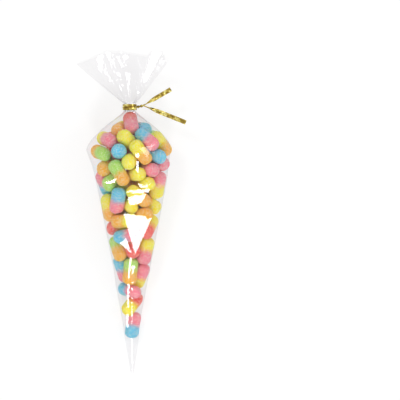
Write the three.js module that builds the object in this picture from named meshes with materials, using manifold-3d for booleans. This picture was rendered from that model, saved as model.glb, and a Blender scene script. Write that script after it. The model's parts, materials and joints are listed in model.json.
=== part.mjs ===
// A clear cone bag of jelly sweets, gathered and tied at the neck, lying on its side.
// Millimetres. +Y runs from the pointed tip to the open mouth, +X across, +Z up from the surface.
import * as THREE from 'three';
import { mergeVertices } from 'three/addons/utils/BufferGeometryUtils.js';
import Module from 'manifold-3d';

const { PI, abs, cos, hypot, max, min, sin, sqrt } = Math;
const { clamp, degToRad, lerp, smoothstep } = THREE.MathUtils;

// Film cone, from the tip to the shoulder
const CONE_LENGTH = 226;
const SHOULDER_HALF_WIDTH = 41.3;
const SHOULDER_HALF_DEPTH = 31.5;
const CONE_SIDE_SWELL = -1.6; // the sides draw in between the tip and the shoulder
const CONE_FRONT_SWELL = 1.4; // and the sweets push the front out
const TIP_HALF_WIDTH = 1.6;
const TIP_HALF_DEPTH = 0.9;
const EMPTY_TIP_LENGTH = 35; // film below the lowest sweet
const REST_FLAT_DEPTH = 1.5; // how far the underside is pressed flat by the weight
const REST_FLAT_FROM = 120; // along, from where it is pressed in fully

// Dome, neck and ruffle
const DOME_HEIGHT = 39;
const DOME_ROUNDNESS = 1.15;
const NECK_LENGTH = 8;
const NECK_RADIUS = 6.3;
const NECK_FOLD_DEPTH = 3.6;
const NECK_HEIGHT = 28; // of its middle, over the surface
const NECK_SHIFT = -1.5; // across
const RUFFLE_LENGTH = 52;
const MOUTH_HALF_WIDTH = 45;
const MOUTH_HALF_DEPTH = 16;
const MOUTH_FOLD_DEPTH = 7;
const MOUTH_HEIGHT = 24;
const MOUTH_SHIFT = -9.8;
const MOUTH_CORNER_DROP = 13; // how far the corners of the mouth hang back
const MOUTH_WAVE = 2;
const RUFFLE_FLARE = 0.9; // under 1 the ruffle opens faster close to the neck
const LEAST_PLEAT_SHARE = 0.6; // the shallowest pleat against the deepest
const GATHER_FROM = 0.25; // share of the dome at which the film starts to gather
const PLEATS = 16;
const COLUMNS_PER_PLEAT = 4;

// Film and its lap seam
const FILM_THICKNESS = 0.3;
const SEAM_ANGLE = degToRad(112);
const SEAM_HALF_ANGLE = degToRad(4);

// Twist tie
const RIBBON_WIDTH = 4.4;
const RIBBON_THICKNESS = 0.5;
const WIRE_RADIUS = 0.55;
const BAND_WIDTH = 5.6;
const TWIST_LENGTH = 8;
const TWIST_TURNS = 1.25;
const TWIST_HALF_WIDTH = 1.5;
const TWIST_HALF_THICKNESS = 0.8;
const UPPER_TAIL_LENGTH = 32;
const UPPER_TAIL_ANGLE = degToRad(30);
const LOWER_TAIL_LENGTH = 46;
const LOWER_TAIL_ANGLE = degToRad(-22);
const TAIL_RISE = 5;
const TAIL_BOW = 0.7; // share of that rise at the middle of a tail
const TAIL_FROM = 0.85; // share of the twist at which the tails leave it
const UPPER_TAIL_OPENING = 0.5; // share of a tail over which it opens flat
const LOWER_TAIL_OPENING = 0.4;
const TWIST_RISE = 2; // towards the mouth

// Jelly sweets
const SWEET_RADIUS = 7.2;
const SWEET_LENGTH = 28;
const SWEET_END_DOME = 6.8; // height of each domed end
const SWEET_SIDES = 10;
const TONE_BLEND = 9; // the two tones run into each other over this much either side of the middle
const MOST_SWEETS = 57;
const LEAST_SWEET_SCALE = 0.5; // a sweet that would have to be smaller is left out
const MOST_SWEET_RADIUS = 7.7; // the fattest that a sweet may be where it has room

const GAP = 0.3; // between pieces that touch
const SEED = 2;

// Named places along the bag
const NECK_START = CONE_LENGTH + DOME_HEIGHT;
const NECK_END = NECK_START + NECK_LENGTH;
const BAND_MIDDLE = NECK_START + NECK_LENGTH / 2;

// Shares of each stretch at which the film has a row of points
const CONE_ROWS = [0.03, 0.08, 0.16, 0.31, 0.49, 0.66, 0.84, 0.94, 1];
const DOME_ROWS = [0.1, 0.22, 0.36, 0.5, 0.65, 0.8, 0.9, 1];
const NECK_ROWS = [0.5, 1];
const RUFFLE_ROWS = [0.1, 0.25, 0.45, 0.7, 1];
const REST_ROW = 4; // the origin lies between this cone row and the next
const REST_SHARE = 0.3;
const COLUMNS = PLEATS * COLUMNS_PER_PLEAT;
const ORIGIN_ALONG = CONE_LENGTH * lerp(CONE_ROWS[REST_ROW], CONE_ROWS[REST_ROW + 1], REST_SHARE);

const TONES = {
  yellow: 0xfae63c,
  red: 0xe8505a,
  orange: 0xf5a83c,
  green: 0x9ed66a,
  blue: 0x5abed7,
  pink: 0xf08ca0,
};

// A repeatable source of numbers from 0 to 1
function makeRandom(seed) {
  const MULTIPLIER = 1664525;
  const INCREMENT = 1013904223;
  const RANGE = 4294967296;
  let state = seed;
  return () => {
    state = (state * MULTIPLIER + INCREMENT) % RANGE;
    return state / RANGE;
  };
}

const random = makeRandom(SEED);
const pleatDepths = Array.from({ length: PLEATS }, () => lerp(LEAST_PLEAT_SHARE, 1, random()));

// Share of the way through each stretch, from 0 to 1
const coneShare = (along) => clamp(along / CONE_LENGTH, 0, 1);
const domeShare = (along) => clamp((along - CONE_LENGTH) / DOME_HEIGHT, 0, 1);
const ruffleShare = (along) => clamp((along - NECK_END) / RUFFLE_LENGTH, 0, 1);

// Half the width or depth of the film at a distance along the bag
function halfSize(along, tip, shoulder, mouth, swell) {
  if (along <= CONE_LENGTH) {
    const share = coneShare(along);
    return lerp(tip, shoulder, share) + swell * sin(PI * share);
  }
  if (along <= NECK_END) {
    return NECK_RADIUS + (shoulder - NECK_RADIUS) * cos((PI / 2) * domeShare(along)) ** DOME_ROUNDNESS;
  }
  return lerp(NECK_RADIUS, mouth, ruffleShare(along) ** RUFFLE_FLARE);
}

const halfWidth = (along) =>
  halfSize(along, TIP_HALF_WIDTH, SHOULDER_HALF_WIDTH, MOUTH_HALF_WIDTH, CONE_SIDE_SWELL);
const halfDepth = (along) =>
  halfSize(along, TIP_HALF_DEPTH, SHOULDER_HALF_DEPTH, MOUTH_HALF_DEPTH, CONE_FRONT_SWELL);

// Middle of the film's section: across and over the surface
function middle(along) {
  const shoulderHeight = SHOULDER_HALF_DEPTH - REST_FLAT_DEPTH;
  const sink = REST_FLAT_DEPTH * smoothstep(along, 0, REST_FLAT_FROM);
  if (along <= CONE_LENGTH) return { x: 0, z: halfDepth(along) - sink };
  if (along <= NECK_END) {
    const share = domeShare(along);
    return { x: NECK_SHIFT * share, z: lerp(shoulderHeight, NECK_HEIGHT, share) };
  }
  const share = ruffleShare(along);
  return { x: lerp(NECK_SHIFT, MOUTH_SHIFT, share), z: lerp(NECK_HEIGHT, MOUTH_HEIGHT, share) };
}

// How deep the folds of the gathered film are
function foldDepth(along) {
  const gather = smoothstep(domeShare(along), GATHER_FROM, 1);
  return gather * lerp(NECK_FOLD_DEPTH, MOUTH_FOLD_DEPTH, ruffleShare(along));
}

// 0 on the crest of a pleat, 1 at the bottom of the fold beside it
function foldShare(column) {
  const phase = (column % COLUMNS_PER_PLEAT) / COLUMNS_PER_PLEAT;
  return 1 - abs(1 - 2 * phase);
}

// One point of the film's outer skin
function filmPoint(along, column, raised = 0) {
  const angle = ((column + 0.5) / COLUMNS) * 2 * PI - PI / 2;
  const pleat = Math.floor(column / COLUMNS_PER_PLEAT) % PLEATS;
  const inward = foldDepth(along) * foldShare(column) * pleatDepths[pleat];
  const centre = middle(along);
  const cornerDrop = MOUTH_CORNER_DROP * cos(angle) ** 2 - MOUTH_WAVE * sin(3 * angle);
  const x = centre.x + (halfWidth(along) - inward + raised) * cos(angle);
  const z = centre.z + (halfDepth(along) - inward + raised) * sin(angle);
  return new THREE.Vector3(x, along - cornerDrop * ruffleShare(along), max(z, 0));
}

// How far the film is raised where its two edges lap
function seamRaise(column) {
  const angle = ((column + 0.5) / COLUMNS) * 2 * PI - PI / 2;
  return abs(angle - SEAM_ANGLE) < SEAM_HALF_ANGLE ? FILM_THICKNESS : 0;
}

// Joins rings of points into one closed skin, with a single point at each end
function loft(rings, firstPoint, lastPoint) {
  const count = rings[0].length;
  const positions = [firstPoint, ...rings.flat(), lastPoint].flatMap((point) => point.toArray());
  const at = (row, column) => 1 + row * count + (column % count);
  const last = 1 + rings.length * count;
  const faces = [];
  for (let column = 0; column < count; column++) {
    faces.push(0, at(0, column + 1), at(0, column));
    for (let row = 0; row < rings.length - 1; row++) {
      faces.push(at(row, column), at(row, column + 1), at(row + 1, column + 1));
      faces.push(at(row, column), at(row + 1, column + 1), at(row + 1, column));
    }
    faces.push(at(rings.length - 1, column), at(rings.length - 1, column + 1), last);
  }
  return facingOut(positions, faces);
}

// A geometry whose faces point out of the solid
function facingOut(positions, faces) {
  const geometry = new THREE.BufferGeometry();
  geometry.setAttribute('position', new THREE.Float32BufferAttribute(positions, 3));
  geometry.setIndex(signedVolume(positions, faces) < 0 ? faces.reverse() : faces);
  return geometry;
}

function signedVolume(positions, faces) {
  const corner = (index) => new THREE.Vector3().fromArray(positions, index * 3);
  let volume = 0;
  for (let face = 0; face < faces.length; face += 3) {
    const [a, b, c] = [corner(faces[face]), corner(faces[face + 1]), corner(faces[face + 2])];
    volume += a.dot(b.cross(c)) / 6;
  }
  return volume;
}

const filmRows = [
  ...CONE_ROWS.map((share) => share * CONE_LENGTH),
  ...DOME_ROWS.map((share) => CONE_LENGTH + share * DOME_HEIGHT),
  ...NECK_ROWS.map((share) => NECK_START + share * NECK_LENGTH),
  ...RUFFLE_ROWS.map((share) => NECK_END + share * RUFFLE_LENGTH),
];

// The inner skin lies one film thickness inside the outer one, along the film's own normal
function innerPoint(along, column) {
  const STEP = 0.01;
  const here = filmPoint(along, column);
  const across = filmPoint(along, column + 1).sub(filmPoint(along, column + COLUMNS - 1));
  const forward = filmPoint(along + STEP, column).sub(filmPoint(along - STEP, column));
  const inward = across.cross(forward).normalize();
  const centre = middle(along);
  if (inward.dot(new THREE.Vector3(centre.x, along, centre.z).sub(here)) < 0) inward.negate();
  return here.addScaledVector(inward, FILM_THICKNESS);
}

function makeFilm() {
  const columns = Array.from({ length: COLUMNS }, (_, column) => column);
  const outer = filmRows.map((along) => columns.map((column) => filmPoint(along, column, seamRaise(column))));
  const inner = filmRows.map((along) => columns.map((column) => innerPoint(along, column)));
  const outerTip = new THREE.Vector3(0, 0, middle(0).z);
  const innerTip = new THREE.Vector3(0, (CONE_ROWS[0] * CONE_LENGTH) / 2, middle(0).z);
  return { geometry: loft([...outer, ...inner.reverse()], outerTip, innerTip), inner };
}

// A sweet is a cylinder with domed ends. It is placed by the middles of its two domes.
const SWEET_HALF_SPAN = SWEET_LENGTH / 2 - SWEET_END_DOME;

// Sweets that show through the front: across as a share of the half width there, along as a share of
// the way to the neck, the direction of the long axis in degrees from +X towards +Y, how far it points
// up at the viewer, and the tones of its two ends
const SHOWN_SWEETS = [
  [0.11, 0.192, 90, 0, 'red', 'blue'],
  [0, 0.275, 78, 35, 'yellow', 'red'],
  [0.06, 0.332, -15, 5, 'pink', 'blue'],
  [-0.65, 0.396, -60, 10, 'pink', 'blue'],
  [0.11, 0.400, -71, 25, 'orange', 'green'],
  [0.78, 0.411, 90, 5, 'pink', 'yellow'],
  [-0.63, 0.475, -77, 5, 'orange', 'green'],
  [-0.09, 0.457, -70, -10, 'red', 'yellow'],
  [0.57, 0.487, -72, 5, 'pink', 'yellow'],
  [-0.50, 0.558, 0, 0, 'yellow', 'red'],
  [0.00, 0.532, 10, -10, 'blue', 'pink'],
  [-0.45, 0.608, -11, 0, 'red', 'yellow'],
  [0.72, 0.566, 80, 25, 'pink', 'blue'],
  [0.37, 0.623, -20, 5, 'red', 'orange'],
  [-0.80, 0.660, -72, 5, 'pink', 'yellow'],
  [-0.47, 0.672, 60, 25, 'blue', 'pink'],
  [-0.26, 0.645, 20, 25, 'yellow', 'red'],
  [-0.03, 0.683, 100, 25, 'orange', 'green'],
  [0.73, 0.668, -45, 10, 'red', 'yellow'],
  [-0.41, 0.721, 0, 5, 'orange', 'green'],
  [0.43, 0.736, 10, 25, 'yellow', 'red'],
  [0.78, 0.721, 60, 25, 'yellow', 'red'],
  [-0.92, 0.725, 80, 10, 'pink', 'blue'],
  [-0.57, 0.762, 10, 5, 'blue', 'pink'],
  [0.16, 0.789, 80, 30, 'yellow', 'red'],
  [0.46, 0.808, 30, 25, 'yellow', 'red'],
  [0.77, 0.785, 90, 10, 'pink', 'blue'],
  [-0.66, 0.792, 40, 25, 'red', 'yellow'],
  [-0.29, 0.800, -42, 5, 'orange', 'green'],
  [-0.75, 0.830, -106, 5, 'orange', 'green'],
  [-0.02, 0.838, 10, -5, 'yellow', 'red'],
  [0.74, 0.834, 0, 25, 'blue', 'pink'],
  [0.37, 0.864, -15, 5, 'orange', 'green'],
  [-0.32, 0.875, 70, 25, 'blue', 'pink'],
  [0.83, 0.868, -60, 0, 'orange', 'yellow'],
  [0.43, 0.906, -25, 0, 'pink', 'blue'],
  [-0.03, 0.891, 90, 25, 'yellow', 'red'],
  [-0.67, 0.909, 60, 10, 'pink', 'blue'],
  [0.89, 0.940, -40, 0, 'green', 'orange'],
  [-0.34, 0.928, 30, 25, 'yellow', 'red'],
  [-0.31, 0.958, 30, 0, 'red', 'pink'],
  [0.41, 0.951, -30, 0, 'red', 'pink'],
];
const TONE_PAIRS = [
  ['green', 'orange'],
  ['yellow', 'red'],
  ['blue', 'pink'],
];

// Packing of the sweets
const SETTLE_PASSES = 2400;
const GROWING_PASSES = 1600;
const FIRST_SCALE = 0.45;
const DROP_STEP = 0.1;
const HIDDEN_FROM = 0.445; // share of the way to the neck below which the shown sweets fill the bag
const HIDDEN_SPREAD = 0.6; // share of the half width over which the hidden ones start
const HIDDEN_HEIGHTS = [0.2, 0.9]; // shares of the height of the middle between which they start
const ROOM_EVERY = 40; // passes between two measurements of the room in the film
const ROOM_STEP = 1; // mm along the bag between two of its places
const PARALLEL = 1e-6;
const HOME_PULL = 0.025;
const SINK_STEP = 0.04;
const SHOWN_HEIGHT_SHARE = 0.92; // shown sweets start high under the film, the rest below them

function makeSweet(place, direction, tones, shown) {
  const reach = direction.clone().multiplyScalar(SWEET_HALF_SPAN);
  const ends = [place.clone().add(reach), place.clone().sub(reach)];
  return { ends, homes: ends.map((end) => end.clone()), tones, shown, scale: 1 };
}

function shownSweets() {
  return SHOWN_SWEETS.map(([acrossShare, alongShare, lean, rise, near, far]) => {
    const [turn, lift] = [degToRad(lean), degToRad(rise)];
    const direction = new THREE.Vector3(cos(turn) * cos(lift), sin(turn) * cos(lift), sin(lift));
    const along = alongShare * NECK_START;
    const height = halfDepth(along) * sqrt(1 - acrossShare ** 2) * SHOWN_HEIGHT_SHARE;
    const across = acrossShare * halfWidth(along);
    const place = new THREE.Vector3(across, along, middle(along).z + height - SWEET_RADIUS);
    return makeSweet(place, direction, [near, far], true);
  });
}

// The sweets that lie behind, spread through the lower part of the bag
function hiddenSweets(count) {
  return Array.from({ length: count }, (_, index) => {
    const along = lerp(HIDDEN_FROM * NECK_START, NECK_START - SWEET_LENGTH, sqrt((index + 0.5) / count));
    const across = lerp(-HIDDEN_SPREAD, HIDDEN_SPREAD, random()) * halfWidth(along);
    const height = middle(along).z * lerp(...HIDDEN_HEIGHTS, random());
    const direction = new THREE.Vector3(random() - 0.5, random() - 0.5, random() - 0.5).normalize();
    const tones = TONE_PAIRS[index % TONE_PAIRS.length];
    return makeSweet(new THREE.Vector3(across, along, height), direction, tones, false);
  });
}

// Where two sweets come closest: a share along each of them, and the step from the first to the second
function closestApproach(first, second) {
  const [a, b] = first.ends;
  const [c, d] = second.ends;
  const u = b.clone().sub(a);
  const v = d.clone().sub(c);
  const w = a.clone().sub(c);
  const [uu, uv, vv, uw, vw] = [u.dot(u), u.dot(v), v.dot(v), u.dot(w), v.dot(w)];
  const spread = uu * vv - uv * uv;
  let s = spread > PARALLEL ? clamp((uv * vw - vv * uw) / spread, 0, 1) : 0.5;
  const t = clamp((uv * s + vw) / vv, 0, 1);
  s = clamp((uv * t - uw) / uu, 0, 1);
  const step = c.clone().addScaledVector(v, t).sub(a.clone().addScaledVector(u, s));
  return { s, t, step, distance: step.length() };
}

function shift(sweet, share, step) {
  sweet.ends[0].addScaledVector(step, 1 - share);
  sweet.ends[1].addScaledVector(step, share);
}

function pushApart(sweets, needed) {
  for (let i = 0; i < sweets.length; i++) {
    for (let j = i + 1; j < sweets.length; j++) {
      if (sweets[i].ends[0].distanceTo(sweets[j].ends[0]) > 4 * SWEET_HALF_SPAN + needed) continue;
      const { s, t, step, distance } = closestApproach(sweets[i], sweets[j]);
      if (distance >= needed) continue;
      const push = step.multiplyScalar((needed - distance) / (2 * max(distance, GAP)));
      shift(sweets[i], s, push.clone().negate());
      shift(sweets[j], t, push);
    }
  }
}

// Half the room that a ball has at each step along the bag, by what the film leaves around it
function roomFor(radius) {
  const along = Array.from({ length: NECK_START / ROOM_STEP + 1 }, (_, index) => index * ROOM_STEP);
  const least = (size, place) => {
    const near = along.filter((other) => abs(other - place) <= radius);
    const reach = (other) => sqrt(radius ** 2 - (other - place) ** 2);
    return min(...near.map((other) => size(other) - foldDepth(other) - reach(other)));
  };
  return along.map((place) => ({
    across: max(least(halfWidth, place), GAP),
    up: max(least(halfDepth, place), GAP),
  }));
}

function keepInside(point, room, radius) {
  point.y = clamp(point.y, EMPTY_TIP_LENGTH + radius, NECK_START - radius);
  const here = room[Math.round(point.y / ROOM_STEP)];
  const centre = middle(point.y);
  const [x, z] = [point.x - centre.x, point.z - centre.z];
  const reach = hypot(x / here.across, z / here.up);
  if (reach > 1) {
    point.x = centre.x + x / reach;
    point.z = centre.z + z / reach;
  }
  point.z = max(point.z, radius + FILM_THICKNESS);
}

function keepLength(sweet, span) {
  const [a, b] = sweet.ends;
  const half = b.clone().sub(a).multiplyScalar(0.5);
  const centre = a.clone().add(half);
  half.setLength(span);
  sweet.ends = [centre.clone().sub(half), centre.clone().add(half)];
}

function pullHome(sweet, pull) {
  sweet.ends.forEach((end, index) => end.lerp(sweet.homes[index], pull));
}

function settle(sweets) {
  let room;
  for (let pass = 0; pass < SETTLE_PASSES; pass++) {
    const scale = min(1, lerp(FIRST_SCALE, 1, pass / GROWING_PASSES));
    const radius = scale * SWEET_RADIUS + GAP;
    const fade = max(0, 1 - pass / SETTLE_PASSES);
    if (pass % ROOM_EVERY === 0) room = roomFor(radius);
    for (const sweet of sweets) {
      if (sweet.shown) pullHome(sweet, HOME_PULL * fade);
      else sweet.ends.forEach((end) => (end.z -= SINK_STEP));
    }
    pushApart(sweets, 2 * scale * SWEET_RADIUS + GAP);
    for (const sweet of sweets) {
      keepLength(sweet, scale * SWEET_HALF_SPAN);
      sweet.ends.forEach((end) => keepInside(end, room, radius));
    }
  }
}

// The film's inner skin as triangles, to measure against
function innerTriangles(inner) {
  const triangles = [];
  for (let row = 0; row < inner.length - 1; row++) {
    for (let column = 0; column < COLUMNS; column++) {
      const next = (column + 1) % COLUMNS;
      const [a, b] = [inner[row][column], inner[row][next]];
      const [c, d] = [inner[row + 1][next], inner[row + 1][column]];
      triangles.push(new THREE.Triangle(a, b, c), new THREE.Triangle(a, c, d));
    }
  }
  return triangles;
}

function distanceToSkin(point, triangles) {
  const nearest = new THREE.Vector3();
  return min(...triangles.map((triangle) => triangle.closestPointToPoint(point, nearest).distanceTo(point)));
}

// Room round a sweet: how thick it could be before it comes within the gap of the film
function filmRoom(sweet, triangles) {
  const near = triangles.filter((triangle) => abs(triangle.a.y - sweet.ends[0].y) < 2 * SWEET_LENGTH);
  return min(...sweet.ends.map((end) => distanceToSkin(end, near))) - GAP;
}

// The size at which each sweet clears the film and its neighbours, each pair sharing its room
function fitSizes(sweets) {
  for (const sweet of sweets) sweet.scale = min(1, sweet.room / SWEET_RADIUS);
  for (let i = 0; i < sweets.length; i++) {
    for (let j = i + 1; j < sweets.length; j++) {
      const share = (closestApproach(sweets[i], sweets[j]).distance - GAP) / (2 * SWEET_RADIUS);
      sweets[i].scale = min(sweets[i].scale, share);
      sweets[j].scale = min(sweets[j].scale, share);
    }
  }
}

// The tightest sweet is left out until the rest are large enough
function leaveOutTightest(sweets, triangles) {
  for (const sweet of sweets) sweet.room = filmRoom(sweet, triangles);
  const kept = [...sweets];
  fitSizes(kept);
  while (min(...kept.map((sweet) => sweet.scale)) < LEAST_SWEET_SCALE) {
    kept.sort((first, second) => first.scale - second.scale).shift();
    fitSizes(kept);
  }
  return sweets.filter((sweet) => kept.includes(sweet));
}

// A sweet's own size is kept in its ends and radius from here on, so that it can be moved
function takeSize(sweet) {
  keepLength(sweet, SWEET_HALF_SPAN * sweet.scale);
  sweet.radius = SWEET_RADIUS * sweet.scale;
}

// Sweets swell into the room that is left round them
function swell(sweets, triangles) {
  for (const sweet of sweets) {
    const others = sweets.filter((other) => other !== sweet);
    const rooms = others.map((other) => closestApproach(sweet, other).distance - other.radius - GAP);
    sweet.radius = min(MOST_SWEET_RADIUS, filmRoom(sweet, triangles), ...rooms);
  }
}

// Whether a sweet clears the film and every other sweet
function isClear(sweet, sweets, triangles) {
  if (filmRoom(sweet, triangles) < sweet.radius) return false;
  return sweets.every(
    (other) => other === sweet || closestApproach(sweet, other).distance >= sweet.radius + other.radius + GAP,
  );
}

// Each sweet, the lowest first, comes down until it rests on the film or on another sweet
function dropToRest(sweets, triangles) {
  const byHeight = [...sweets].sort((first, second) => first.ends[0].z - second.ends[0].z);
  for (const sweet of byHeight) {
    const lower = (step) => sweet.ends.forEach((end) => (end.z -= step));
    do lower(DROP_STEP);
    while (isClear(sweet, sweets, triangles));
    lower(-DROP_STEP);
  }
}

// A turned sweet: rings of a domed end, the straight side and the other domed end, along +Y
function sweetGeometry(radius, halfSpan, tones) {
  const DOME_STEPS = 3;
  const domeHeight = (radius / SWEET_RADIUS) * SWEET_END_DOME;
  const quarter = Array.from({ length: DOME_STEPS + 1 }, (_, step) => ((PI / 2) * step) / DOME_STEPS);
  const dome = quarter.map((angle) => [sin(angle) * radius, halfSpan + cos(angle) * domeHeight]);
  const mirrored = dome.map(([across, height]) => [across, -height]).reverse();
  const profile = [...dome, ...mirrored].reverse();
  const points = profile.map(([across, height]) => new THREE.Vector2(across, height));
  points[0].x = 0;
  points[points.length - 1].x = 0;
  const geometry = new THREE.LatheGeometry(points, SWEET_SIDES);
  const heights = geometry.attributes.position;
  const [near, far] = tones.map((tone) => new THREE.Color(TONES[tone]));
  const colors = [];
  for (let index = 0; index < heights.count; index++) {
    const share = smoothstep(heights.getY(index), -TONE_BLEND, TONE_BLEND);
    colors.push(...far.clone().lerp(near, share).toArray());
  }
  geometry.setAttribute('color', new THREE.Float32BufferAttribute(colors, 3));
  return geometry;
}

// A ribbon's section: flat foil with the round of its wire along the middle
function ribbonSection(half) {
  const [edge, ridge] = [RIBBON_THICKNESS / 2, WIRE_RADIUS];
  const upper = [[-half, edge], [-ridge, edge], [0, ridge], [ridge, edge], [half, edge]];
  const lower = upper.map(([across, up]) => [-across, -up]);
  return [...upper, ...lower];
}

// Sweeps a section along a curve. turnAt gives its roll and halfAt the ribbon's half width.
function sweep(curve, steps, turnAt, sectionAt) {
  const rings = [];
  for (let step = 0; step <= steps; step++) {
    const share = step / steps;
    const along = curve.getTangentAt(share);
    const side = new THREE.Vector3(0, 0, 1).cross(along).normalize();
    const up = along.clone().cross(side);
    const place = curve.getPointAt(share);
    const [c, s] = [cos(turnAt(share)), sin(turnAt(share))];
    rings.push(
      sectionAt(share).map(([a, b]) =>
        place
          .clone()
          .addScaledVector(side, a * c - b * s)
          .addScaledVector(up, a * s + b * c),
      ),
    );
  }
  return loft(rings, curve.getPointAt(0), curve.getPointAt(1));
}

// The band round the neck: a ring of foil that bulges over its wire
function bandGeometry() {
  const inner = NECK_RADIUS + GAP;
  const outer = inner + RIBBON_THICKNESS;
  const half = BAND_WIDTH / 2;
  const outline = [
    [inner, -half], [outer, -half], [outer, -WIRE_RADIUS], [outer + WIRE_RADIUS, 0],
    [outer, WIRE_RADIUS], [outer, half], [inner, half], [inner, -half],
  ];
  const BAND_SIDES = 40;
  const points = outline.map(([radius, along]) => new THREE.Vector2(radius, along));
  return new THREE.LatheGeometry(points, BAND_SIDES);
}

// The two ends of the tie twisted together, leaving the band on its +X side
function twistGeometry(start, end) {
  const STEPS = 20;
  const SECTION_POINTS = 10;
  const section = Array.from({ length: SECTION_POINTS }, (_, index) => {
    const angle = (index / SECTION_POINTS) * 2 * PI;
    return [TWIST_HALF_WIDTH * cos(angle), TWIST_HALF_THICKNESS * sin(angle)];
  });
  const turnAt = (share) => PI / 2 + share * TWIST_TURNS * 2 * PI;
  return sweep(new THREE.LineCurve3(start, end), STEPS, turnAt, () => section);
}

// One free tail: it leaves the twist on edge and opens flat
function tailGeometry(start, length, angle, opening) {
  const STEPS = 16;
  const NARROW = 0.4;
  const heading = new THREE.Vector3(cos(angle), sin(angle), 0);
  const bow = new THREE.Vector3(0, 0, TAIL_RISE);
  const middlePoint = start.clone().addScaledVector(heading, length / 2).addScaledVector(bow, TAIL_BOW);
  const endPoint = start.clone().addScaledVector(heading, length).add(bow);
  const curve = new THREE.CatmullRomCurve3([start, middlePoint, endPoint]);
  const turnAt = (share) => (PI / 2) * (1 - smoothstep(share, 0, opening));
  const sectionAt = (share) => {
    const open = lerp(NARROW, 1, smoothstep(share, 0, opening));
    return ribbonSection((RIBBON_WIDTH / 2) * open);
  };
  return sweep(curve, STEPS, turnAt, sectionAt);
}

const wasm = await Module();
wasm.setup();

function toManifold(geometry) {
  const bare = geometry.clone();
  bare.deleteAttribute('normal');
  bare.deleteAttribute('uv');
  const merged = mergeVertices(bare);
  const vertProperties = merged.attributes.position.array;
  const triVerts = new Uint32Array(merged.index.array);
  return new wasm.Manifold(new wasm.Mesh({ numProp: 3, vertProperties, triVerts }));
}

function toGeometry(solid) {
  const { vertProperties, triVerts } = solid.getMesh();
  const geometry = new THREE.BufferGeometry();
  geometry.setAttribute('position', new THREE.BufferAttribute(vertProperties, 3));
  geometry.setIndex(new THREE.BufferAttribute(triVerts, 1));
  return geometry;
}

function makeTie() {
  const twistStart = new THREE.Vector3(NECK_RADIUS + GAP + RIBBON_THICKNESS / 2, 0, 0);
  const twistEnd = twistStart.clone().add(new THREE.Vector3(TWIST_LENGTH, TWIST_RISE, 0));
  const tailStart = twistStart.clone().lerp(twistEnd, TAIL_FROM);
  const pieces = [
    bandGeometry(),
    twistGeometry(twistStart, twistEnd),
    tailGeometry(tailStart, UPPER_TAIL_LENGTH, UPPER_TAIL_ANGLE, UPPER_TAIL_OPENING),
    tailGeometry(tailStart, LOWER_TAIL_LENGTH, LOWER_TAIL_ANGLE, LOWER_TAIL_OPENING),
  ];
  return toGeometry(pieces.map(toManifold).reduce((whole, piece) => whole.add(piece)));
}

const part = new THREE.Group();
part.position.y = -ORIGIN_ALONG;

function addPiece(name, geometry, material) {
  const mesh = new THREE.Mesh(geometry, material);
  mesh.name = name;
  part.add(mesh);
  return mesh;
}

const film = makeFilm();
const filmMaterial = new THREE.MeshStandardMaterial({
  color: 0xf2f4f6,
  roughness: 0.08,
  metalness: 0,
  transparent: true,
  opacity: 0.3,
});
addPiece('clear_film_bag', film.geometry, filmMaterial);

const foilMaterial = new THREE.MeshStandardMaterial({ color: 0xc4a03a, roughness: 0.35, metalness: 0.9 });
const tie = addPiece('gold_twist_tie', makeTie(), foilMaterial);
tie.position.set(NECK_SHIFT, BAND_MIDDLE, NECK_HEIGHT);

const shown = shownSweets();
const sweets = [...shown, ...hiddenSweets(MOST_SWEETS - shown.length)];
settle(sweets);
const skin = innerTriangles(film.inner);
const kept = leaveOutTightest(sweets, skin);
kept.forEach(takeSize);
swell(kept, skin);
dropToRest(kept, skin);
kept.forEach((sweet, index) => {
  const material = new THREE.MeshStandardMaterial({ vertexColors: true, roughness: 0.8 });
  const name = `jelly_sweet_${String(index + 1).padStart(2, '0')}`;
  const axis = sweet.ends[0].clone().sub(sweet.ends[1]);
  const mesh = addPiece(name, sweetGeometry(sweet.radius, axis.length() / 2, sweet.tones), material);
  mesh.position.copy(sweet.ends[0]).lerp(sweet.ends[1], 0.5);
  mesh.quaternion.setFromUnitVectors(new THREE.Vector3(0, 1, 0), axis.normalize());
});

export default part;
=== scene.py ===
import json
import math

import bmesh
import bpy
from mathutils import Matrix, Vector, noise
from mathutils.bvhtree import BVHTree


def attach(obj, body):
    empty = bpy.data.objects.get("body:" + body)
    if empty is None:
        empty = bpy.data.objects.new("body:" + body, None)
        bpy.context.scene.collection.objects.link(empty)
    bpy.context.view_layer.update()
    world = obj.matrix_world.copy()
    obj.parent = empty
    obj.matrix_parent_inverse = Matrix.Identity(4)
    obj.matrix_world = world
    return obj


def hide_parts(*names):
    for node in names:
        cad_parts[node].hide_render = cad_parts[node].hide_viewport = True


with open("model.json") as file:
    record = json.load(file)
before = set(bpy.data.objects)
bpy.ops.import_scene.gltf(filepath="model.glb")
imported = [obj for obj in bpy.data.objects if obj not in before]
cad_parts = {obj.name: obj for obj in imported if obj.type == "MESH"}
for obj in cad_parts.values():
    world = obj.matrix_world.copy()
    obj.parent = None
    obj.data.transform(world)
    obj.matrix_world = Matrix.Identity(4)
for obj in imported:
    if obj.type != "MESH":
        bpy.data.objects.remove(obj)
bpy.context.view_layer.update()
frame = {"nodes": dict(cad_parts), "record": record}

mm = 0.001
tiny = 1e-6
nodes = frame["nodes"]
slotOf = {part["node"]: part["material_slot"] for part in frame["record"]["subparts"]}


def blendBetween(low, high, share):
    return low + (high - low) * share


def easeBetween(low, high, value):
    share = min(max((value - low) / (high - low), 0), 1)
    return share * share * (3 - 2 * share)


def foldWave(phase):  # 0 on a crest, 1 in a fold, straight between
    return 1 - abs(1 - 2 * (phase % 1))


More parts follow.
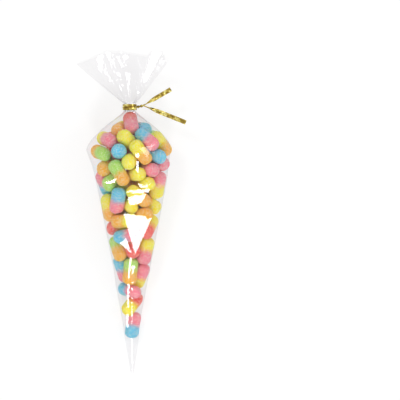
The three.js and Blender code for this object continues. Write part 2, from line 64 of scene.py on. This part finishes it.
# a socket that takes Python's own maths
class Wire:
    def __init__(self, tree, socket):
        self.tree, self.socket = tree, socket

    def maths(self, operation, first, second):
        return self.node("ShaderNodeMath", {"operation": operation}, {0: first, 1: second})

    def node(self, kind, settings=None, inputs=None, output=0):
        made = self.tree.nodes.new(kind)
        for name, value in (settings or {}).items():
            if name == "stops":
                while len(made.color_ramp.elements) < len(value):
                    made.color_ramp.elements.new(0.5)
                for stop, (place, colour) in zip(made.color_ramp.elements, value):
                    stop.position, stop.color = place, colour
            else:
                setattr(made, name, value)
        for name, value in (inputs or {}).items():
            if isinstance(value, Wire):
                self.tree.links.new(value.socket, made.inputs[name])
            else:
                made.inputs[name].default_value = value
        return Wire(self.tree, made.outputs[output]) if made.outputs else None

    def __add__(self, other):
        return self.maths("ADD", self, other)

    def __sub__(self, other):
        return self.maths("SUBTRACT", self, other)

    def __mul__(self, other):
        return self.maths("MULTIPLY", self, other)

    def __pow__(self, other):
        return self.maths("POWER", self, other)


def newMaterial(name):
    material = bpy.data.materials.new(name)
    material.use_nodes = True
    material.node_tree.nodes.clear()
    tree = material.node_tree
    start = Wire(tree, None)
    return material, start


def noiseAt(start, place, scale, detail):
    return start.node("ShaderNodeTexNoise", None, {"Vector": place, "Scale": scale, "Detail": detail})


def rangeOf(start, value, ends, results, settings=None):
    (low, high), (first, last) = ends, results
    return start.node("ShaderNodeMapRange", settings, {0: value, 1: low, 2: high, 3: first, 4: last})


def bumpFrom(start, height, look):
    return start.node(
        "ShaderNodeBump", None, {"Strength": look["bump"], "Distance": look["bumpDepth"], "Height": height}
    )


def finishMaterial(start, shader):
    start.node("ShaderNodeOutputMaterial", None, {"Surface": shader})


def linear(red, green, blue):  # a screen colour from 0 to 255, as shaders take it
    def channel(value):
        value = value / 255
        return value / 12.92 if value <= 0.04045 else ((value + 0.055) / 1.055) ** 2.4
    return (channel(red), channel(green), channel(blue), 1)


def finishPiece(name, bm, material, replaced):
    mesh = bpy.data.meshes.new(name)
    bm.to_mesh(mesh)
    bm.free()
    mesh.materials.append(material)
    for face in mesh.polygons:
        face.use_smooth = True
    piece = bpy.data.objects.new(name, mesh)
    bpy.context.scene.collection.objects.link(piece)
    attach(piece, "root")
    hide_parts(*replaced)
    return piece


# camera straight over the bag, with the photograph's framing
cameraLook = {"across": 69 * mm, "along": 53.7 * mm, "distance": 1.7, "aimHeight": 33 * mm, "frameWidth": 0.4}
sensorWidth = 36  # mm


def makeCamera(look):
    camera = bpy.data.cameras.new("photoCamera")
    camera.sensor_width = sensorWidth
    camera.lens = sensorWidth * look["distance"] / look["frameWidth"]
    camera.clip_start, camera.clip_end = 0.05, 10
    holder = bpy.data.objects.new("photoCamera", camera)
    holder.location = (look["across"], look["along"], look["aimHeight"] + look["distance"])
    bpy.context.scene.collection.objects.link(holder)
    bpy.context.scene.camera = holder


makeCamera(cameraLook)
print("camera ready")

# floor and light
stageLook = {
    "floorHalf": 3.0, "floorDrop": 0.2 * mm, "paper": 0.82, "shadedPaper": 0.34, "floorGlow": 0.67,
    "worldLevel": 0.64, "aim": (0, 0.04, 0.03),
}
softboxes = {
    "overheadBox": {"place": (-0.55, 0.75, 1.25), "size": (0.36, 0.29), "power": 4.4},
    "tipBox": {"place": (0.02, -1.0, 1.05), "size": (0.31, 0.27), "power": 5.5},
    "sideBox": {"place": (1.1, 0.2, 0.9), "size": (0.3, 0.55), "power": 3.0},
}


def makeFloor(look):  # the camera sees it as plain white, with the part's shadow
    bm = bmesh.new()
    bmesh.ops.create_grid(bm, x_segments=1, y_segments=1, size=look["floorHalf"])
    bmesh.ops.translate(bm, verts=bm.verts, vec=(0, 0, -look["floorDrop"]))
    mesh = bpy.data.meshes.new("whiteFloor")
    bm.to_mesh(mesh)
    bm.free()
    material, start = newMaterial("whiteFloor")
    paper = start.node("ShaderNodeBsdfDiffuse", None, {"Color": (look["paper"],) * 3 + (1,)})
    glow = start.node("ShaderNodeEmission", None, {"Color": (1, 1, 1, 1), "Strength": look["floorGlow"]})
    shaded = start.node("ShaderNodeBsdfDiffuse", None, {"Color": (look["shadedPaper"],) * 3 + (1,)})
    both = start.node("ShaderNodeAddShader", None, {0: shaded, 1: glow})
    seen = start.node("ShaderNodeLightPath")
    finishMaterial(start, start.node("ShaderNodeMixShader", None, {0: seen, 1: paper, 2: both}))
    mesh.materials.append(material)
    floor = bpy.data.objects.new("whiteFloor", mesh)
    bpy.context.scene.collection.objects.link(floor)


def makeLights():
    for name, look in softboxes.items():
        light = bpy.data.lights.new(name, "AREA")
        light.shape = "RECTANGLE"
        light.size, light.size_y = look["size"]
        light.energy = look["power"]
        holder = bpy.data.objects.new(name, light)
        holder.location = look["place"]
        aim = Vector(stageLook["aim"]) - Vector(look["place"])
        holder.rotation_mode = "QUATERNION"
        holder.rotation_quaternion = aim.to_track_quat("-Z", "Y")
        bpy.context.scene.collection.objects.link(holder)
    world = bpy.data.worlds.new("studio")
    world.use_nodes = True
    background = world.node_tree.nodes["Background"]
    background.inputs["Color"].default_value = (1, 1, 1, 1)
    background.inputs["Strength"].default_value = stageLook["worldLevel"]
    bpy.context.scene.world = world
    bpy.context.scene.view_settings.view_transform = "Standard"


makeFloor(stageLook)
makeLights()
print("stage ready")

# jelly sweets: domed cylinders in a coat of sugar, one tone running into another
sweetLook = {
    "around": 36, "rings": 26, "bluntness": 2.25, "lump": 1.5 * mm, "oval": 0.08, "waist": 0.05,
    "plump": 1.15, "leastRadius": 7.5 * mm, "longer": 1.0 * mm, "leastHalf": 13.5 * mm,
    "domeShare": 0.94, "dents": (95, 0.7), "fineDents": (260, 0.3), "dentBias": 0.05,
}
sugarLook = {
    "blendFrom": 0.35, "blendTo": 0.65, "edgeScale": 260.0, "edgeWander": 0.25, "grainScale": 1500.0,
    "grainDepth": 0.5, "fineScale": 1000.0, "fineShare": 0.8, "clumpScale": 480.0, "clumpShare": 0.2,
    "shows": (0.47, 0.6), "cover": (0.0, 0.46), "tone": (1.0, 0.95, 0.8, 1),
    "bump": 0.8, "bumpDepth": 0.7 * mm,
    "skin": {
        "Roughness": 0.62, "Subsurface Weight": 0.6, "Subsurface Scale": 5 * mm,
        "Subsurface Radius": (1.0, 0.6, 0.4), "Specular IOR Level": 0.35,
    },
}
tones = {
    "yellow": linear(255, 238, 0),
    "red": linear(244, 78, 72),
    "orange": linear(255, 180, 22),
    "green": linear(174, 226, 92),
    "blue": linear(90, 198, 230),
    "pink": linear(250, 132, 154),
}

# front sweets whose turned-up end shows another pair of tones, by the sweet's number
showingTones = {
    "pink_blue": ["01", "11"], "red_yellow": ["02", "19"], "yellow_red": ["13"], "green_orange": ["28"],
    "yellow_orange": ["12", "15", "18", "21", "25", "33", "37", "38"], "pink_yellow": ["22", "31"],
    "orange_green": ["14", "24"], "yellow_pink": ["26", "40"], "red_blue": ["39"],
}


def slotFor(name):
    for pair, numbers in showingTones.items():
        if name[-2:] in numbers:
            return "jelly_" + pair
    return slotOf[name]


def sugaredMaterial(slot):
    mouthTone, tipTone = [tones[word] for word in slot.split("_")[1:]]
    material, start = newMaterial(slot)
    place = start.node("ShaderNodeTexCoord", None, None, "Object")
    along = start.node("ShaderNodeUVMap", {"uv_map": "UVMap"})
    share = start.node("ShaderNodeSeparateXYZ", None, {0: along}, "Y")
    look = sugarLook
    edge = share + (noiseAt(start, place, look["edgeScale"], 2.0) - 0.5) * look["edgeWander"]
    ends = (look["blendFrom"], look["blendTo"])
    run = rangeOf(start, edge, ends, (0.0, 1.0), {"interpolation_type": "SMOOTHSTEP"})
    body = start.node("ShaderNodeMix", {"data_type": "RGBA"}, {0: run, 6: tipTone, 7: mouthTone}, 2)
    cells = {"Vector": place, "Scale": look["grainScale"]}
    grains = start.node("ShaderNodeTexVoronoi", None, cells, "Distance")
    fine = noiseAt(start, place, look["fineScale"], 2.0)
    clumps = noiseAt(start, place, look["clumpScale"], 1.0)
    sugar = fine * look["fineShare"] + clumps * look["clumpShare"]
    sparkle = rangeOf(start, sugar, look["shows"], look["cover"])
    coat = start.node("ShaderNodeMix", {"data_type": "RGBA"}, {0: sparkle, 6: body, 7: look["tone"]}, 2)
    bump = bumpFrom(start, sugar - grains * look["grainDepth"], look)
    skin = {**look["skin"], "Base Color": coat, "Normal": bump}
    finishMaterial(start, start.node("ShaderNodeBsdfPrincipled", None, skin))
    return material


def measureSweet(node):
    points = [vertex.co.copy() for vertex in node.data.vertices]
    middle = sum(points, Vector()) / len(points)
    first = max(points, key=lambda point: (point - middle).length)
    last = max(points, key=lambda point: (point - first).length)
    if first.y < last.y:
        first, last = last, first
    middle, axis = (first + last) / 2, (first - last).normalized()
    radius = max((point - middle - axis * (point - middle).dot(axis)).length for point in points)
    return middle, axis, (first - last).length / 2, radius


def makeSweet(name, node, material):
    middle, axis, half, radius = measureSweet(node)
    radius = max(radius * sweetLook["plump"], sweetLook["leastRadius"])
    half = max(half + sweetLook["longer"], sweetLook["leastHalf"])
    dome = radius * sweetLook["domeShare"]
    bm = bmesh.new()
    uv = bm.loops.layers.uv.new("UVMap")
    bmesh.ops.create_uvsphere(bm, u_segments=sweetLook["around"], v_segments=sweetLook["rings"], radius=1)
    power = sweetLook["bluntness"]
    for vertex in bm.verts:
        height = min(abs(vertex.co.z), 1)
        girth = math.hypot(vertex.co.x, vertex.co.y)
        wanted = (1 - height**power) ** (1 / power)
        waist = 1 - sweetLook["waist"] * (1 - height) ** 2
        if girth > tiny:
            vertex.co.x *= radius * wanted * waist / girth
            vertex.co.y *= radius * wanted * waist * (1 - sweetLook["oval"]) / girth
        beyond = height > tiny
        vertex.co.z = math.copysign(half - dome + dome * height, vertex.co.z) if beyond else 0
    for face in bm.faces:
        for loop in face.loops:
            loop[uv].uv = (0.5, loop.vert.co.z / (2 * half) + 0.5)
    turn = Vector((0, 0, 1)).rotation_difference(axis).to_matrix().to_4x4()
    bmesh.ops.transform(bm, matrix=Matrix.Translation(middle) @ turn, verts=bm.verts)
    (scale, share), (fineScale, fineShare) = sweetLook["dents"], sweetLook["fineDents"]
    for vertex in bm.verts:
        dent = noise.noise(vertex.co * scale) * share + noise.noise(vertex.co * fineScale) * fineShare
        depth = max(dent + sweetLook["dentBias"], 0)
        vertex.co += (middle - vertex.co).normalized() * depth * sweetLook["lump"]
    return finishPiece(name, bm, material, [node.name])


sweetMaterials = {}
sweetNodes = sorted(name for name in nodes if name.startswith("jelly_sweet_"))
for name in sweetNodes:
    slot = slotFor(name)
    if slot not in sweetMaterials:
        sweetMaterials[slot] = sugaredMaterial(slot)
    makeSweet(name.replace("jelly_sweet", "sugaredSweet"), nodes[name], sweetMaterials[slot])
print("sweets ready:", len(sweetNodes))

# the film: the same shape as its solid, drawn tight over the sweets, pleated into the neck
filmLook = {
    "columns": 280, "rows": 340, "coneLength": 226 * mm, "domeHeight": 39 * mm, "neckLength": 8 * mm,
    "ruffleLength": 52 * mm, "tip": (1.6 * mm, 0.9 * mm), "shoulder": (41.3 * mm, 31.5 * mm),
    "mouth": (46 * mm, 16 * mm), "swell": (-1.6 * mm, 1.4 * mm), "neckRadius": 6.3 * mm,
    "roundness": 1.15, "flare": 0.9, "restDepth": 1.5 * mm, "flatFrom": 120 * mm,
    "neckMiddle": (-1.5 * mm, 28 * mm), "mouthMiddle": (-9.8 * mm, 24 * mm), "pleats": 16,
    "neckFold": 3.6 * mm, "mouthFold": 7 * mm, "leftDrop": 12 * mm, "dip": 4.5 * mm, "rightDrop": 11 * mm,
    "broadFolds": 6, "standOff": 0.3 * mm, "stretch": 2.5 * mm, "crease": 0.9 * mm, "openCrease": 4,
    "creaseScales": (90, 210), "creaseShift": (5, 1, 2), "cornerPull": 2.4 * mm, "cornerReach": 15 * mm,
    "hullGrowth": 0.9 * mm, "hullHeight": 30 * mm, "liftFrom": 1.0 * mm, "weld": 0.002 * mm,
    "castBeyond": 0.3, "restOrigin": 122.266 * mm,
}
# where the film is drawn tight over the sweets, along it in pairs of places, and where it hangs loose,
# by the cosine of its turn round the bag: a flap low on the left, and both shoulders
tightLook = {
    "from": (36 * mm, 50 * mm), "to": (238 * mm, 258 * mm), "flapSide": (-0.3, -0.8),
    "flapTo": (88 * mm, 108 * mm), "flapLoose": 0.8, "shoulderSide": (0.75, 0.95),
    "shoulderFrom": (190 * mm, 222 * mm), "shoulderLoose": 0.9,
}
foldLook = {
    "gatherFrom": 0.25, "sway": 0.5, "swayRound": 2, "swayAlong": 1.5, "broadShift": 0.3, "evenness": 0.7,
    "unevenRound": 4, "unevenShift": 3, "cornerFlat": 0.8, "cornerPower": 6, "fineShare": 0.25,
    "openPower": 0.6,
}
# shares of the mouth's half width at which its edge starts to hang, dips and rises again
mouthLook = {"leftFrom": 0.35, "dipOver": 0.6, "dipEnds": (0.56, 0.7), "rightFrom": 0.93}
neckEnd = filmLook["coneLength"] + filmLook["domeHeight"] + filmLook["neckLength"]


def filmHalf(along, which):
    look = filmLook
    cone = look["coneLength"]
    if along <= cone:
        share = along / cone
        straight = blendBetween(look["tip"][which], look["shoulder"][which], share)
        return straight + look["swell"][which] * math.sin(math.pi * share)
    if along <= neckEnd:
        share = min((along - cone) / look["domeHeight"], 1)
        taper = max(math.cos(math.pi / 2 * share), 0) ** look["roundness"]
        return blendBetween(look["neckRadius"], look["shoulder"][which], taper)
    share = (along - neckEnd) / look["ruffleLength"]
    return blendBetween(look["neckRadius"], look["mouth"][which], share ** look["flare"])


def filmMiddle(along):
    look = filmLook
    cone = look["coneLength"]
    if along <= cone:
        pressed = look["restDepth"] * easeBetween(0, look["flatFrom"], along)
        return look["neckMiddle"][0] * along / cone, filmHalf(along, 1) - pressed
    if along <= neckEnd:
        share = min((along - cone) / look["domeHeight"], 1)
        low = look["shoulder"][1] - look["restDepth"]
        return look["neckMiddle"][0], blendBetween(low, look["neckMiddle"][1], share)
    share = (along - neckEnd) / look["ruffleLength"]
    return tuple(blendBetween(a, b, share) for a, b in zip(look["neckMiddle"], look["mouthMiddle"]))


def filmFold(along, turn):
    look, folds = filmLook, foldLook
    gather = easeBetween(folds["gatherFrom"], 1, (along - look["coneLength"]) / look["domeHeight"])
    opened = min(max((along - neckEnd) / look["ruffleLength"], 0), 1)
    depth = gather * blendBetween(look["neckFold"], look["mouthFold"], opened)
    out = Vector((math.cos(turn), math.sin(turn), 0))
    height = Vector((0, 0, opened * folds["swayAlong"]))
    sway = folds["sway"] * noise.noise(out * folds["swayRound"] + height)
    share = turn / (2 * math.pi)
    fine = foldWave(look["pleats"] * share + sway * opened)
    broad = foldWave(look["broadFolds"] * share + sway + folds["broadShift"])
    height = Vector((0, 0, folds["unevenShift"] + opened))
    uneven = noise.noise(out * folds["unevenRound"] + height)
    uneven = folds["evenness"] + (1 - folds["evenness"]) * uneven
    corner = 1 - folds["cornerFlat"] * opened * math.cos(turn) ** folds["cornerPower"]
    mixed = blendBetween(broad, fine, folds["fineShare"])
    return depth * blendBetween(fine, mixed, opened ** folds["openPower"]) * uneven * corner


def mouthDrop(side):  # how far the mouth's edge hangs back, from its left corner at -1 to its right at 1
    look = mouthLook
    left = filmLook["leftDrop"] * max(-side - look["leftFrom"], 0) / (1 - look["leftFrom"])
    dip = filmLook["dip"] * max(side, 0) / look["dipOver"] * (1 - easeBetween(*look["dipEnds"], side))
    return left + dip + filmLook["rightDrop"] * easeBetween(look["rightFrom"], 1, side)


def sweetsHull():  # a skin round all the sweets, for the film to be drawn to
    bm = bmesh.new()
    for name in sweetNodes:
        for vertex in nodes[name].data.vertices:
            bm.verts.new(vertex.co)
    for vertex in bm.verts:
        centre = Vector((0, vertex.co.y, filmLook["hullHeight"]))
        vertex.co += (vertex.co - centre).normalized() * filmLook["hullGrowth"]
    hull = bmesh.ops.convex_hull(bm, input=bm.verts)
    inside = {item for item in hull["geom_interior"] if isinstance(item, bmesh.types.BMVert)}
    bmesh.ops.delete(bm, geom=list(inside), context="VERTS")
    tree = BVHTree.FromBMesh(bm)
    bm.free()
    return tree


def filmPlace(turn, along, hull):
    look = filmLook
    across, up = filmMiddle(along)
    fold = filmFold(along, turn)
    out = Vector((math.cos(turn), 0, math.sin(turn)))
    middle = Vector((across, along - look["restOrigin"], up))
    reach = Vector((out.x * (filmHalf(along, 0) - fold), 0, out.z * (filmHalf(along, 1) - fold)))
    place = middle + reach
    drawn = tightLook
    tight = easeBetween(*drawn["from"], along) * (1 - easeBetween(*drawn["to"], along))
    flap = easeBetween(*drawn["flapSide"], out.x) * (1 - easeBetween(*drawn["flapTo"], along))
    shoulder = easeBetween(*drawn["shoulderSide"], abs(out.x)) * easeBetween(*drawn["shoulderFrom"], along)
    tight *= (1 - drawn["flapLoose"] * flap) * (1 - drawn["shoulderLoose"] * shoulder)
    if tight > 0 and place.z > look["liftFrom"]:
        beyond = look["castBeyond"]
        hit = hull.ray_cast(place + reach * beyond, -reach.normalized(), reach.length * (1 + beyond))[0]
        if hit:
            wanted = hit + reach.normalized() * look["standOff"]
            if (wanted - middle).length < reach.length + look["stretch"]:
                place = place.lerp(wanted, tight)
    opened = min(max((along - neckEnd) / look["ruffleLength"], 0), 1)
    place.y -= mouthDrop(math.cos(turn)) * opened
    broad, fine = look["creaseScales"]
    crease = noise.noise(place * broad) * noise.noise(place * fine + Vector(look["creaseShift"]))
    place -= out * max(crease, 0) * look["crease"] * (1 + look["openCrease"] * opened)
    pull = max(1 - abs(along - look["coneLength"]) / look["cornerReach"], 0) * max(-math.cos(turn), 0) ** 8
    place.x -= look["cornerPull"] * pull
    place.z = max(place.z, 0)
    return place


# the haze is on the gathered film below the tie; both pairs are places along Y in the frame
filmSkin = {
    "wrinkleScale": 85.0, "bump": 0.18, "bumpDepth": 1 * mm, "gloss": (0.88, 0.88, 0.9, 1), "roughness": 0.06,
    "clear": (0.98, 0.977, 0.98, 1), "edgeBlend": 0.35, "edgePower": 2.6, "edgeShare": 0.5, "share": 0.055,
    "hazeFrom": (0.11, 0.143), "hazeTo": (0.151, 0.17), "haze": (0.0, 0.08),
}


def filmMaterial():
    look = filmSkin
    material, start = newMaterial("clearFilm")
    place = start.node("ShaderNodeTexCoord", None, None, "Object")
    bump = bumpFrom(start, noiseAt(start, place, look["wrinkleScale"], 3.0), look)
    edge = start.node("ShaderNodeLayerWeight", None, {"Blend": look["edgeBlend"], "Normal": bump}, "Facing")
    skin = {"Base Color": look["gloss"], "Metallic": 1.0, "Roughness": look["roughness"], "Normal": bump}
    gloss = start.node("ShaderNodeBsdfPrincipled", None, skin)
    clear = start.node("ShaderNodeBsdfTransparent", None, {"Color": look["clear"]})
    along = start.node("ShaderNodeSeparateXYZ", None, {0: place}, "Y")
    gathered = rangeOf(start, along, look["hazeFrom"], look["haze"])
    below = rangeOf(start, along, look["hazeTo"], (1.0, 0.0))
    share = edge ** look["edgePower"] * look["edgeShare"] + gathered * below + look["share"]
    finishMaterial(start, start.node("ShaderNodeMixShader", None, {0: share, 1: clear, 2: gloss}))
    return material


# places where the film is pulled flat, by their outlines across and along in mm from the tip, and
# the way that each faces
filmFacets = [
    {"lean": (0.028, -0.413), "outline": [(-7, 163), (21, 158.6), (4.4, 121.6)]},
    {"lean": (0.035, -0.402), "outline": [(-4.5, 137.5), (-11.2, 132.4), (0.6, 123.2)]},
    {"lean": (0.027, -0.434), "outline": [(-5.2, 184.4), (19.3, 187.4), (17.9, 183.4), (5.6, 182.4)]},
    {
        "lean": (0.027, -0.434),
        "outline": [
            (-2.8, 177.8), (4.6, 180.6), (15.4, 181.5), (13.4, 177.2), (10.9, 173.4), (1.7, 170.7),
            (-1.3, 172.7),
        ],
    },
    {
        "lean": (0.029, -0.445),
        "outline": [(7.5, 192.5), (13.4, 190.2), (19.8, 192), (16.3, 188.4), (10.5, 188.2)],
    },
    {"lean": (0.045, -0.445), "outline": [(-25.5, 193.4), (-12.6, 197.4), (-15.9, 193.2), (-22.7, 191.5)]},
    {"lean": (0.03, -0.463), "outline": [(5.4, 221.4), (8.9, 222.3), (8.3, 218), (5.6, 217.8)]},
    {"lean": (0.028, -0.455), "outline": [(6.2, 215), (8.4, 214), (8, 203), (6.4, 204)]},
    {"lean": (0.031, -0.388), "outline": [(4.5, 111), (2, 103), (0.4, 101), (2, 109)]},
    {
        "lean": (0.034, -0.372),
        "outline": [(-0.6, 119), (0.9, 119), (-1.4, 103), (-3.8, 47), (-5.3, 47), (-3.1, 103)],
    },
    {"lean": (-0.165, 0.168), "outline": [(-32.5, 320), (-27.6, 322), (-29.6, 303), (-32.5, 307)]},
    {"lean": (-0.165, 0.168), "outline": [(-25.5, 324), (-19.6, 322), (-21.6, 315)]},
    {"lean": (-0.165, 0.168), "outline": [(-14.5, 320), (-12, 318), (-7, 309), (-9.4, 309)]},
    {"lean": (-0.165, 0.168), "outline": [(22, 325), (31, 324), (15, 294), (11.5, 296)]},
]
facetUpFrom = 0.1  # least upward share of a face's normal


def insideOutline(x, y, outline):
    inside = False
    for (ax, ay), (bx, by) in zip(outline, outline[1:] + outline[:1]):
        if (ay > y) != (by > y) and x < ax + (y - ay) / (by - ay) * (bx - ax):
            inside = not inside
    return inside


def layFacets(film):  # a corner given no normal keeps its own
    normals = [Vector((0, 0, 0))] * len(film.data.loops)
    for face in film.data.polygons:
        x, y = face.center.x / mm, (face.center.y + filmLook["restOrigin"]) / mm
        if face.normal.z < facetUpFrom:
            continue
        for facet in filmFacets:
            if insideOutline(x, y, facet["outline"]):
                for loop in face.loop_indices:
                    normals[loop] = Vector((*facet["lean"], 1)).normalized()
    film.data.normals_split_custom_set(normals)


def makeFilm():
    look = filmLook
    total = neckEnd + look["ruffleLength"]
    hull = sweetsHull()
    bm = bmesh.new()
    bmesh.ops.create_grid(bm, x_segments=look["columns"], y_segments=look["rows"], size=0.5)
    for vertex in bm.verts:
        turn = (vertex.co.x + 0.5) * 2 * math.pi - math.pi / 2
        along = (vertex.co.y + 0.5) * total
        vertex.co = filmPlace(turn, along, hull)
    bmesh.ops.remove_doubles(bm, verts=bm.verts, dist=look["weld"])
    bmesh.ops.recalc_face_normals(bm, faces=bm.faces)
    if sum(face.normal.z * (face.calc_center_median().z - look["hullHeight"]) for face in bm.faces) < 0:
        bmesh.ops.reverse_faces(bm, faces=bm.faces)
    layFacets(finishPiece("clearFilmBag", bm, filmMaterial(), ["clear_film_bag"]))


makeFilm()
print("film ready")


# the tie's foil: its gold, with painted highlights and painted shade across its crinkles
foilLook = {
    "crinkleScale": 280.0, "bump": 0.8, "bumpDepth": 0.8 * mm, "metal": 0.8, "roughness": 0.3,
    # the stops run from painted shade in dark olive, through the foil's own gold, to a pale painted highlight
    "stops": [(0.34, linear(126, 102, 44)), (0.5, linear(200, 174, 76)), (0.64, linear(252, 244, 160))],
}


def foilMaterial(look):
    material, start = newMaterial("goldFoil")
    place = start.node("ShaderNodeTexCoord", None, None, "Object")
    crinkle = noiseAt(start, place, look["crinkleScale"], 2.0)
    # painted light: the crinkle noise darkens the gold into painted shade and lightens it into painted
    # highlights
    goldPaintedShadeAndHighlight = start.node("ShaderNodeValToRGB", {"stops": look["stops"]}, {0: crinkle})
    bump = bumpFrom(start, crinkle, look)
    skin = {"Base Color": goldPaintedShadeAndHighlight, "Metallic": look["metal"], "Roughness": look["roughness"], "Normal": bump}
    finishMaterial(start, start.node("ShaderNodeBsdfPrincipled", None, skin))
    return material


tie = nodes["gold_twist_tie"]
tie.data.materials.clear()
tie.data.materials.append(foilMaterial(foilLook))
print("tie ready")
